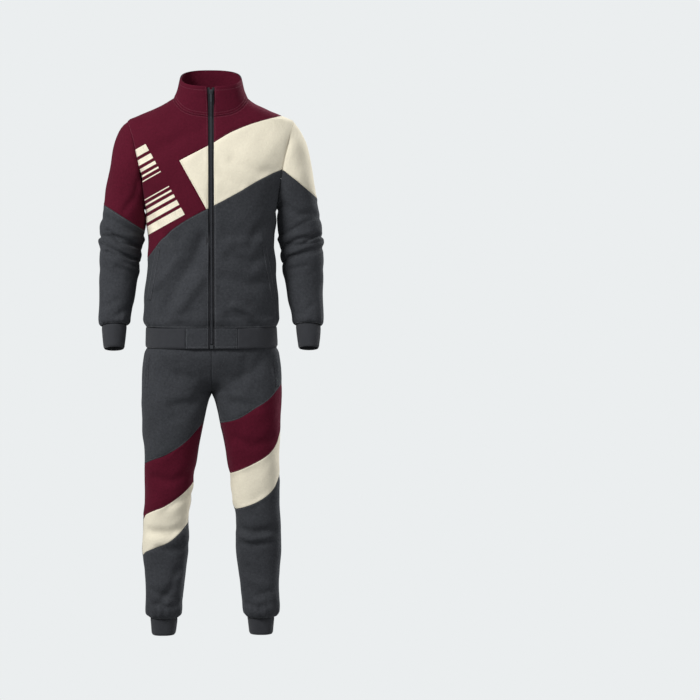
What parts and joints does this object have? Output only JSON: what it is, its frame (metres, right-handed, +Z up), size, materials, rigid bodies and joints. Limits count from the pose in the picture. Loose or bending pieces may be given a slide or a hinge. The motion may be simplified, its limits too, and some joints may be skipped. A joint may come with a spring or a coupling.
{
  "type": "tracksuit",
  "caption": "Colour-blocked fleece tracksuit, filled out as worn: a zipped stand-collar jacket with rib cuffs and hem over cuffed jogger trousers.",
  "frame": {"origin": "on the centre line, at the height where the collar meets the shoulders at the sides of the neck and 4 mm in front of the shoulder line, where the wearer's neck carries the jacket", "axes": "+Z up, -Y towards the front of the garment, +X towards the wearer's left"},
  "size_m": [0.6282, 0.2638, 1.5856],
  "materials": {
    "charcoal_fleece": "matte brushed fleece",
    "maroon_fleece": "matte brushed fleece",
    "cream_fleece": "matte brushed fleece",
    "charcoal_rib": "matte rib knit",
    "zip_tape": "matte woven tape",
    "zip_metal": "dark satin metal"
  },
  "bodies": {
    "garment": {"ankle_cuff_left": "charcoal_rib", "ankle_cuff_right": "charcoal_rib", "back": "charcoal_fleece", "collar_back": "charcoal_fleece", "collar_facing": "maroon_fleece", "collar_left": "maroon_fleece", "collar_right": "maroon_fleece", "cuff_left": "charcoal_rib", "cuff_right": "charcoal_rib", "front_left_band": "cream_fleece", "front_left_lower": "charcoal_fleece", "front_left_yoke": "maroon_fleece", "front_right_inset": "cream_fleece", "front_right_lower": "charcoal_fleece", "front_right_upper": "maroon_fleece", "hem_band": "charcoal_rib", "hem_tab_left": "charcoal_fleece", "hem_tab_right": "charcoal_fleece", "jacket_pocket_left": "charcoal_fleece", "jacket_pocket_right": "charcoal_fleece", "leg_left_back": "charcoal_fleece", "leg_left_cream": "cream_fleece", "leg_left_maroon": "maroon_fleece", "leg_left_shin": "charcoal_fleece", "leg_left_thigh": "charcoal_fleece", "leg_right_back": "charcoal_fleece", "leg_right_cream": "cream_fleece", "leg_right_maroon": "maroon_fleece", "leg_right_shin": "charcoal_fleece", "leg_right_thigh": "charcoal_fleece", "sleeve_left_lower": "charcoal_fleece", "sleeve_left_upper": "cream_fleece", "sleeve_right_lower": "charcoal_fleece", "sleeve_right_upper": "maroon_fleece", "trouser_pocket_left": "charcoal_fleece", "trouser_pocket_right": "charcoal_fleece", "waistband": "charcoal_rib", "zip_box": "zip_metal", "zip_chain": "zip_metal", "zip_slider": "zip_metal", "zip_tape_left": "zip_tape", "zip_tape_right": "zip_tape"},
    "pull_tab": {"zip_pull": "zip_metal"}
  },
  "joints": [
    {"name": "zip_pull_hinge", "type": "hinge", "parent": "garment", "child": "pull_tab", "pos_m": [0, -0.0849, 0.014], "axis": [-1, 0, 0], "range_deg": [0, 150]}
  ]
}
